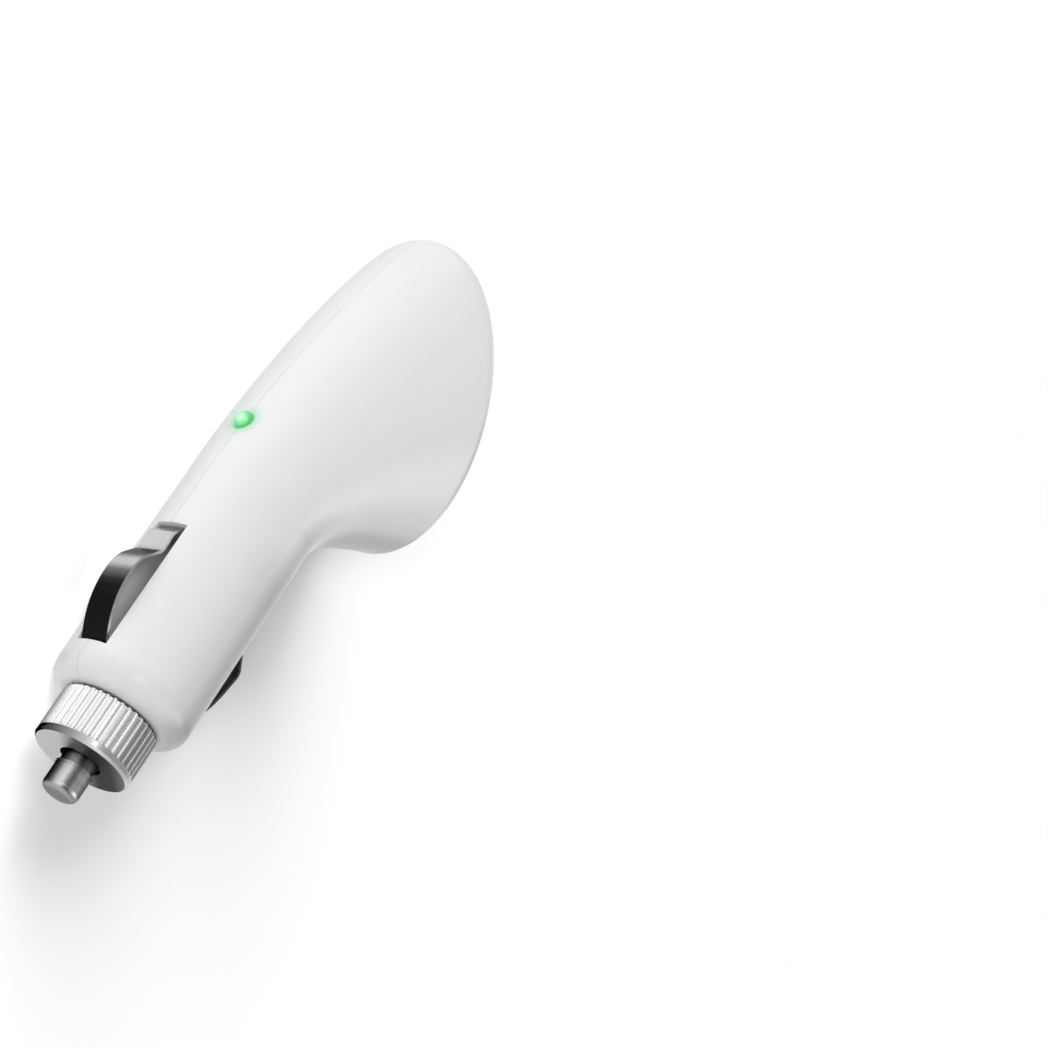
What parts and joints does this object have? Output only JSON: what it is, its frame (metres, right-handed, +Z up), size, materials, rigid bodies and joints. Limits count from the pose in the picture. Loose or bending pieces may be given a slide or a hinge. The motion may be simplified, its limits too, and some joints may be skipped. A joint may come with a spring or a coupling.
{
  "type": "car usb charger plug",
  "caption": "White car charger plug with sprung tip, fluted nose cap, leaf side contacts, pilot lamp and a domed oval face with a USB-A port.",
  "frame": {"origin": "on the ground, under the middle of the bounding box of the plug as it lies", "axes": "+X from the tip to the head, +Z up; the plug lies on its left side, turned 31 degrees about its axis"},
  "size_m": [0.1054, 0.0374, 0.0339],
  "materials": {
    "white_plastic": "glossy moulded white",
    "chrome": "bright chrome plating",
    "steel": "turned steel",
    "nickel": "bright nickel plating",
    "plated_brass": "bright nickel plating",
    "brass": "bright",
    "clear_glass": "clear",
    "wire_cover": "satin black",
    "board_green": "solder mask",
    "black_plastic": "satin black",
    "green_lens": "tinted, lit",
    "tin": "tinned",
    "ferrite": "sintered dark grey",
    "copper": "enamelled copper",
    "can_sleeve": "shrunk sleeve"
  },
  "bodies": {
    "housing": {"left_shell": "white_plastic", "right_shell": "white_plastic", "fuse_spring": "steel", "positive_terminal": "brass", "ground_wires": "wire_cover", "circuit_board": "board_green", "usb_shell": "nickel", "usb_tongue": "black_plastic", "usb_contacts": "brass", "led_lens": "green_lens", "led_leads": "tin", "converter_chip": "black_plastic", "chip_legs": "tin", "inductor_core": "ferrite", "inductor_winding": "copper", "input_capacitor": "can_sleeve", "output_capacitor": "can_sleeve", "diode": "black_plastic", "diode_leads": "tin", "resistors": "black_plastic"},
    "nose_cap": {"nose_cap": "chrome"},
    "tip": {"tip_pin": "steel", "fuse_front_cap": "plated_brass", "fuse_rear_cap": "plated_brass", "fuse_glass": "clear_glass", "fuse_wire": "plated_brass"},
    "upper_contact": {"upper_contact": "nickel"},
    "lower_contact": {"lower_contact": "nickel"}
  },
  "joints": [
    {"name": "cap_turn", "type": "hinge", "parent": "housing", "child": "nose_cap", "pos_m": [-0.0431, 0.00611, 0.01027], "axis": [-0.9998, 0, -0.0182], "range_deg": [0, 720]},
    {"name": "tip_push", "type": "slide", "parent": "housing", "child": "tip", "axis": [0.9998, 0, 0.0182], "range_m": [0, 0.004], "stiffness_N_per_m": 800, "deforming": ["fuse_spring"]},
    {"name": "upper_contact_press", "type": "hinge", "parent": "housing", "child": "upper_contact", "pos_m": [-0.01302, 0.01228, 0.0071], "axis": [-0.0155, 0.5165, 0.8561], "range_deg": [0, 13], "stiffness_Nm_per_rad": 0.25},
    {"name": "lower_contact_press", "type": "hinge", "parent": "housing", "child": "lower_contact", "pos_m": [-0.01316, -0.00005, 0.01454], "axis": [0.0155, -0.5165, -0.8561], "range_deg": [0, 13], "stiffness_Nm_per_rad": 0.25}
  ]
}
